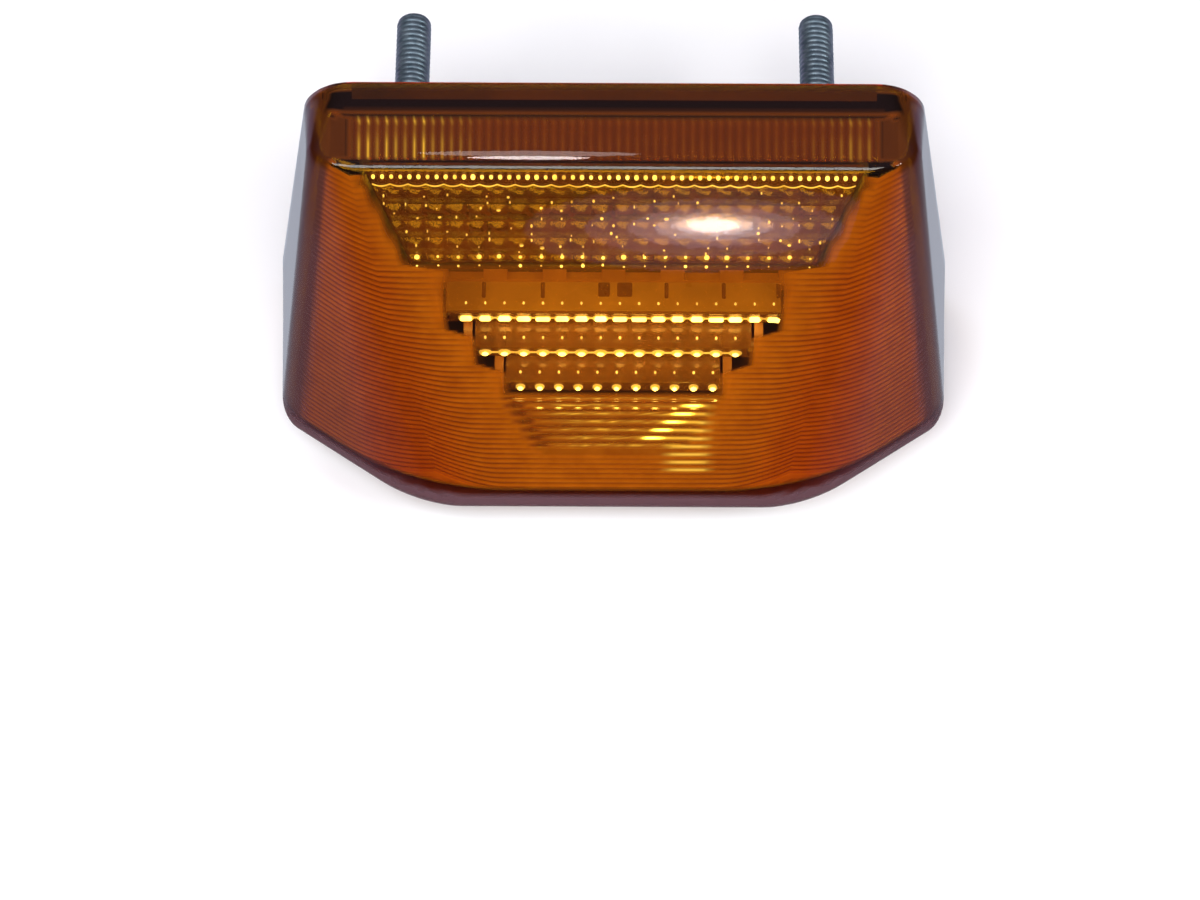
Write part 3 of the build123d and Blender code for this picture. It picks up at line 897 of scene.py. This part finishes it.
def make_beads():
    """Rows of small polished beads along the pillow optic."""
    beads = Shell()
    chance = np.random.default_rng(7)
    inset = WALL + 0.9

    def row(z, half, pitch, radii, kind, spread=0.0, missing=0.0):
        count = int(2 * half / pitch)
        for place in (np.arange(count + 1) - count / 2) * pitch:
            if chance.random() < missing:
                continue
            x = np.array(place + spread * chance.normal())
            point = front_point(x, np.array(z + spread * chance.normal()), inset)
            size = 1.0 + (0.25 if spread else 0.08) * chance.normal()
            lean = np.exp((0.35 if spread > 0.1 else 0.0) * chance.normal())
            beads.bead(point, np.array(radii) * (lean, 1, 1 / lean) * np.clip(size, 0.6, 1.4), kind)

    row(PANEL_Z[0] + 1.45, 39.6, 1.48, (0.34, 0.3, 0.5), 0)
    row(PANEL_Z[1] + 0.7, 33.8, PILLOW_PITCH, (0.3, 0.3, 0.24), 0, 0.05)
    row(PANEL_Z[1] - 0.5, 33.0, PILLOW_PITCH, (0.24, 0.3, 0.22), 0, 0.05)
    for step in range(1, 10):
        z = mix(*PANEL_Z, step / 10)
        row(z, panel_half(z) - 1.0, PILLOW_PITCH, (0.15, 0.25, 0.17), 1, 0.22, 0.25 + 0.3 * (step % 2))
    waves, half = 27, 39.4
    along = np.linspace(-half, half, waves * 10 + 1)
    sag = 0.3 * np.abs(np.sin(math.pi * (along + half) / (2 * half) * waves))
    path = front_point(along, PANEL_Z[0] + 0.45 - sag, inset)
    around = np.arange(7) / 6 * 2 * math.pi
    line = np.stack([path + 0.13 * np.array([0, math.cos(a), math.sin(a)]) for a in around])
    numbers = beads.add(line[:-1])
    beads.rows(np.concatenate([numbers, numbers[:1]]), 2)
    thing = beads.build("pillow_optic_beads")
    face_outwards(thing)
    return thing


# ---------------------------------------------------------------- studs

THREAD_PITCH = 1.0
THREAD_DEPTH = 0.14
STUD_RADIUS = 3.0
STUD_TIP_RADIUS = 1.7
STUD_ROUNDING = 1.5


def make_stud(side):
    """Plated stud with a rolled thread, its head and its plain neck inside the plate."""
    node = "stud_" + side
    low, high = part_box(node)
    centre = (low + high) / 2 / MM
    tip = high.y / MM
    head = low.y / MM
    turns = 32
    angle = np.arange(turns) / turns * 2 * math.pi
    head_thickness, neck_radius, head_radius = 3.0, 3.6, (high.x - low.x) / 2 / MM
    along = [head, head, head + 0.4, head + head_thickness - 0.3, head + head_thickness]
    radii = [0.01, head_radius - 0.4, head_radius, head_radius, head_radius - 0.3]
    rings = [np.full(turns, r) for r in radii]
    for y in (head + head_thickness, -0.02):
        along.append(y)
        rings.append(np.full(turns, neck_radius))
    for y in np.arange(0.0, tip - 0.01, THREAD_PITCH / 8):
        phase = (y / THREAD_PITCH - angle / (2 * math.pi)) % 1.0
        groove = THREAD_DEPTH * (0.5 - 0.5 * np.cos(2 * math.pi * phase)) ** 1.5
        groove = groove * smooth_step(0.0, 1.5, y) * smooth_step(0.0, 1.0, tip - 0.4 - y)
        past = max(0.0, (y - (tip - STUD_ROUNDING)) / STUD_ROUNDING)
        full = STUD_TIP_RADIUS + (STUD_RADIUS - STUD_TIP_RADIUS) * math.sqrt(max(0.0, 1 - past * past))
        along.append(y)
        rings.append(full - groove)
    along += [tip, tip]
    rings += [np.full(turns, STUD_TIP_RADIUS - 0.1), np.full(turns, 0.01)]
    shell = Shell()
    grid = np.array([
        [(centre.x + r * math.cos(a), -y, centre.z + r * math.sin(a)) for a, r in zip(angle, ring)]
        for y, ring in zip(along, rings)])
    numbers = shell.add(grid)
    numbers = np.concatenate([numbers, numbers[:, :1]], axis=1)
    shell.rows(numbers)
    shell.faces += [list(numbers[0, :-1]), list(numbers[-1, :-1])]
    shell.kinds += [0, 0]
    stud = shell.build("threaded_stud_" + side)
    face_outwards(stud)
    return stud, node


# ---------------------------------------------------------------- scene

def make_floor():
    """Pale studio floor just under the lamp."""
    low, _ = cad_box
    count, size = 24, 3.0
    spots = (np.arange(count + 1) / count - 0.5) * 2 * size
    points = [(x, y, low.z - 0.0004) for y in spots for x in spots]
    wide = count + 1
    faces = [(r * wide + c, r * wide + c + 1, (r + 1) * wide + c + 1, (r + 1) * wide + c)
             for r in range(count) for c in range(count)]
    floor = new_object("studio_floor", points, faces, smooth=False)
    nodes = Nodes("studio_paper")
    paper = nodes.noise(30, 2)
    floor.data.materials.append(nodes.finish(nodes.shader(
        "ShaderNodeBsdfPrincipled", Base_Color=nodes.ramp(paper, (0.86, 0.87, 0.88), (0.90, 0.90, 0.91)),
        Roughness=0.8)))
    floor.visible_glossy = False


def lamp(name, place, size, power, target=(0, -0.02, 0), colour=(1, 1, 1), shape="RECTANGLE", glossy=True):
    """Soft lamp that faces the target."""
    light = bpy.data.lights.new(name, "AREA")
    light.shape = shape
    light.size, light.size_y = size
    light.energy = power
    light.color = colour
    thing = bpy.data.objects.new(name, light)
    thing.location = place
    thing.rotation_euler = (Vector(target) - Vector(place)).to_track_quat("-Z", "Y").to_euler()
    thing.visible_glossy = glossy
    bpy.context.scene.collection.objects.link(thing)


def make_world():
    """Pale to the eye; to the lamp it is dim above and a soft grey-blue below, like a table around it."""
    world = bpy.data.worlds.new("studio")
    world.use_nodes = True
    tree = world.node_tree
    tree.nodes.clear()
    direction = tree.nodes.new("ShaderNodeTexCoord")
    split = tree.nodes.new("ShaderNodeSeparateXYZ")
    tree.links.new(direction.outputs["Generated"], split.inputs["Vector"])
    ramp = tree.nodes.new("ShaderNodeValToRGB")
    height = tree.nodes.new("ShaderNodeMapRange")
    tree.links.new(split.outputs["Z"], height.inputs["Value"])
    height.inputs["From Min"].default_value = -1.0
    tree.links.new(height.outputs["Result"], ramp.inputs["Fac"])
    bands = ((0.0, (0.62, 0.66, 0.76)), (0.12, (0.48, 0.52, 0.62)), (0.31, (0.42, 0.32, 0.50)),
             (0.48, (0.06, 0.05, 0.07)), (0.68, (0.06, 0.06, 0.08)), (1.0, (0.22, 0.18, 0.26)))
    elements = ramp.color_ramp.elements
    for index, (position, colour) in enumerate(bands):
        element = elements[index] if index < 2 else elements.new(position)
        element.position, element.color = position, (*colour, 1)
    seen, around = tree.nodes.new("ShaderNodeBackground"), tree.nodes.new("ShaderNodeBackground")
    seen.inputs["Color"].default_value = (0.93, 0.94, 0.96, 1)
    tree.links.new(ramp.outputs["Color"], around.inputs["Color"])
    choose = tree.nodes.new("ShaderNodeMixShader")
    path = tree.nodes.new("ShaderNodeLightPath")
    tree.links.new(path.outputs["Is Camera Ray"], choose.inputs[0])
    tree.links.new(around.outputs[0], choose.inputs[1])
    tree.links.new(seen.outputs[0], choose.inputs[2])
    output = tree.nodes.new("ShaderNodeOutputWorld")
    tree.links.new(choose.outputs[0], output.inputs["Surface"])
    bpy.context.scene.world = world


def make_lights():
    """Soft key, right and rear lamps, thin lamps for the streak by the crease, and flash lamps in front."""
    lamp("key_softbox", (-0.2, -0.62, 0.85), (0.95, 0.8), 16.0)
    lamp("right_softbox", (0.8, -0.35, 0.7), (0.4, 0.4), 6.0)
    lamp("rear_softbox", (-0.5, 0.95, 0.45), (0.6, 0.4), 5.0, glossy=False)
    for number, (length, height, brightness) in enumerate(((0.05, 0.0014, 16.0), (0.09, 0.0022, 3.0))):
        lamp(f"streak_{number}", (-0.036, 0.513 + 0.002 * number, 0.878), (length, height),
             brightness * math.pi * math.pi / 4 * length * height, (-0.036, -0.02, 0), shape="ELLIPSE")
    flash = (0.036, -0.845, 0.227)
    width, height, brightness = 0.020, 0.0045, 12.0
    for number in range(6):
        place = (flash[0], flash[1] - 0.001 * number, flash[2])
        power = brightness * math.pi * math.pi / 4 * width * height
        lamp(f"flash_{number}", place, (width, height), power, shape="ELLIPSE",
             colour=(1 - 0.09 * number, 1 - 0.10 * number, 1))
        width, height, brightness = width * 1.48, height * 1.48, brightness * 0.5


def make_camera():
    """Camera at the viewing angle, aimed by turning it."""
    flat = CAMERA_DISTANCE * math.cos(CAMERA_ELEVATION)
    place = Vector((flat * math.sin(CAMERA_AZIMUTH), -flat * math.cos(CAMERA_AZIMUTH),
                    CAMERA_DISTANCE * math.sin(CAMERA_ELEVATION)))
    forward = -place.normalized()
    right = forward.cross(Vector((0, 0, 1))).normalized()
    up = right.cross(forward)
    aim = right * CAMERA_AIM[0] + up * CAMERA_AIM[1]
    data = bpy.data.cameras.new("camera")
    data.sensor_width = 36
    data.lens = CAMERA_LENS
    data.clip_start, data.clip_end = 0.01, 20
    camera = bpy.data.objects.new("camera", data)
    turn = (aim - place).to_track_quat("-Z", "Y").to_matrix().to_4x4()
    camera.matrix_world = Matrix.Translation(place) @ turn @ Matrix.Rotation(CAMERA_ROLL, 4, "Z")
    bpy.context.scene.collection.objects.link(camera)
    bpy.context.scene.camera = camera


make_camera()
make_floor()
make_lights()
make_world()

lens = make_lens()
lens.data.materials.append(amber_plastic())
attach(lens, "root")
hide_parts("lens")

guide = make_light_guide()
# Painted highlights: the tips and tread dots glow, and the halos round the tips are painted bloom
for material in (clear_optic("guide_acrylic", (0.34, 0.16, 0.06), (0.46, 0.22, 0.08), 0.5),
                 bright_tip("lens_tip", 5.0, 10.0),
                 bright_tip("tread_dot", 0.6, 2.4),
                 plastic("guide_shadow", (0.05, 0.02, 0.01), (0.12, 0.05, 0.02), spread=400),
                 plastic("guide_shelf", (0.42, 0.28, 0.20), (0.60, 0.40, 0.28)),
                 bright_tip("tip_glow", 0.35, 0.9)):
    guide.data.materials.append(material)
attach(guide, "root")
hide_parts("light_guide")

panel = make_pillow_optic()
panel.data.materials.append(clear_optic("pillow_acrylic", (0.10, 0.04, 0.025), (0.22, 0.09, 0.05), 0.45))
edge = make_pillow_frame()
edge.data.materials.append(plastic("optic_edge", (0.03, 0.022, 0.025), (0.045, 0.035, 0.04)))
beads = make_beads()
# Painted highlights: the beads and the wavy line glow
for material in (bright_tip("bead_bright", 0.5, 4.0), bright_tip("bead_dim", 0.15, 1.6),
                 bright_tip("bead_line", 0.25, 0.9)):
    beads.data.materials.append(material)
for piece in (panel, edge, beads):
    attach(piece, "root")
    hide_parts("pillow_optic")

plating = zinc()
for side in ("left", "right"):
    stud, node = make_stud(side)
    stud.data.materials.append(plating)
    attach(stud, "root")
    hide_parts(node)

black = plastic("black_plastic", (0.010, 0.011, 0.022), (0.018, 0.020, 0.038), (0.18, 0.3))
tan = plastic("reflector_tan", (0.44, 0.21, 0.13), (0.56, 0.28, 0.18), (0.3, 0.45))
finishes = {
    "sealant_bead": plastic("sealant", (0.010, 0.006, 0.006), (0.12, 0.045, 0.009), (0.35, 0.5), spread=14),
    "back_plate": black,
    "connector_housing": plastic("connector_black", (0.008, 0.009, 0.012), (0.014, 0.015, 0.02),
                                 (0.12, 0.2)),
    "connector_label": plastic("label_film", (0.10, 0.36, 0.56), (0.14, 0.42, 0.63), (0.35, 0.5)),
    "vent_membrane": woven_patch(),
    "circuit_board": plastic("board_laminate", (0.02, 0.10, 0.04), (0.03, 0.14, 0.06), (0.3, 0.4)),
    "reflector": tan,
    "resistors": plastic("chip_ceramic", (0.02, 0.02, 0.02), (0.05, 0.05, 0.05)),
    "protection_diode": plastic("chip_body", (0.015, 0.015, 0.015), (0.03, 0.03, 0.03)),
    "smoothing_capacitor": metal("capacitor_can", (0.5, 0.5, 0.52), (0.7, 0.7, 0.72), (0.25, 0.4)),
    "terminal_left": metal("tin", (0.55, 0.55, 0.55), (0.75, 0.75, 0.74), (0.25, 0.4)),
    "terminal_right": metal("tin_right", (0.55, 0.55, 0.55), (0.75, 0.75, 0.74), (0.25, 0.4)),
}
screw_steel = metal("screw_steel", (0.35, 0.35, 0.36), (0.5, 0.5, 0.52), (0.3, 0.45))
led_body = plastic("led_package", (0.75, 0.68, 0.40), (0.85, 0.78, 0.45), (0.2, 0.35))
for node_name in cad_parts:
    if "screw" in node_name:
        finishes[node_name] = screw_steel
    if node_name.startswith("led_"):
        finishes[node_name] = led_body
for node_name, material in finishes.items():
    cover(node_name, material)

view_settings = bpy.context.scene.view_settings
view_settings.view_transform = "Standard"
cycles = bpy.context.scene.cycles
cycles.max_bounces = 16
cycles.transmission_bounces = 14
cycles.transparent_max_bounces = 16
cycles.glossy_bounces = 6
cycles.diffuse_bounces = 4
cycles.caustics_refractive = False
cycles.caustics_reflective = False
